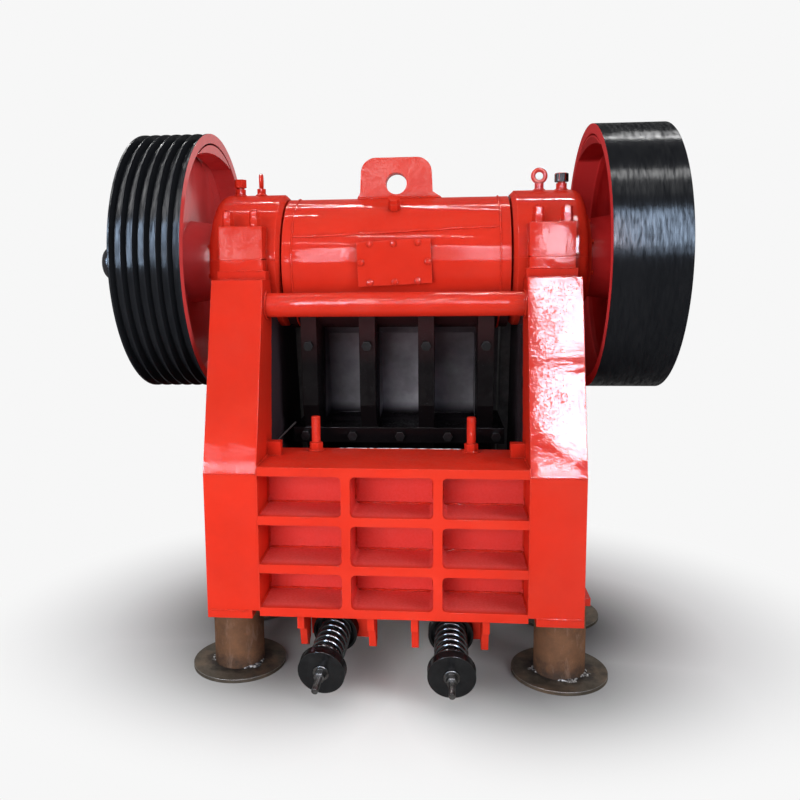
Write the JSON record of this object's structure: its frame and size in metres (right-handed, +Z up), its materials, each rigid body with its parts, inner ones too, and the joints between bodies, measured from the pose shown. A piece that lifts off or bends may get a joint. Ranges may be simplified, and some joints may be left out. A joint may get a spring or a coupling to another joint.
{
  "type": "jaw crusher",
  "caption": "Wide single-toggle jaw crusher on pipe stands, with grooved sheave and flywheel, ribbed welded frame and swing jaw.",
  "frame": {"origin": "middle of the overall box, on the ground", "axes": "+X to the flywheel side, +Y to the feed side, +Z up"},
  "size_m": [2.008, 1.4674, 1.818],
  "materials": {
    "red_paint": "glossy signal red enamel",
    "wheel_paint": "glossy black tread, red faces",
    "oily_black": "dark oily paint",
    "black_paint": "gloss black paint",
    "bare_steel": "machined steel",
    "manganese_steel": "cast wear steel",
    "rusty_steel": "brown rusty pipe",
    "dark_plate": "dark mill scale plate"
  },
  "bodies": {
    "frame": {"adjusting_screws": "red_paint", "adjusting_wedge": "oily_black", "bearing_base_left": "red_paint", "bearing_base_right": "red_paint", "bearing_cap_left": "red_paint", "bearing_cap_right": "red_paint", "cap_bolts": "red_paint", "cheek_plate_left": "manganese_steel", "cheek_plate_right": "manganese_steel", "eye_bolts": "red_paint", "fixed_jaw_plate": "manganese_steel", "foot_plates": "red_paint", "front_wall": "red_paint", "grease_plugs": "red_paint", "rear_post_left": "red_paint", "rear_post_right": "red_paint", "rear_wall": "red_paint", "seal_covers": "red_paint", "side_flanges": "red_paint", "side_plate_left": "red_paint", "side_plate_right": "red_paint", "side_stiffeners": "red_paint", "spring_bracket_left": "red_paint", "spring_bracket_right": "red_paint", "spring_cups": "black_paint", "spring_seats": "black_paint", "springs": "black_paint", "stand_discs": "dark_plate", "stand_pipes": "rusty_steel", "tension_rods": "bare_steel", "tie_bar": "red_paint", "toggle_block": "oily_black", "toggle_plate": "oily_black"},
    "rotor": {"eccentric_shaft": "bare_steel", "sheave": "wheel_paint", "flywheel": "wheel_paint", "counterweights": "red_paint"},
    "pitman": {"pitman": "red_paint", "barrel_covers": "red_paint", "lifting_lug": "red_paint", "cover_plate": "red_paint", "jaw_studs": "oily_black", "oil_plug": "red_paint", "swing_jaw_plate": "manganese_steel"}
  },
  "joints": [
    {"name": "rotor_spin", "type": "hinge", "parent": "frame", "child": "rotor", "pos_m": [0.06, -0.08628, 1.376], "axis": [1, 0, 0], "continuous": true},
    {"name": "pitman_swing", "type": "hinge", "parent": "rotor", "child": "pitman", "pos_m": [0.06, -0.08628, 1.364], "axis": [1, 0, 0], "continuous": true}
  ],
  "couplings": [
    {"joint": "pitman_swing", "follows": "rotor_spin", "ratio": -1}
  ]
}
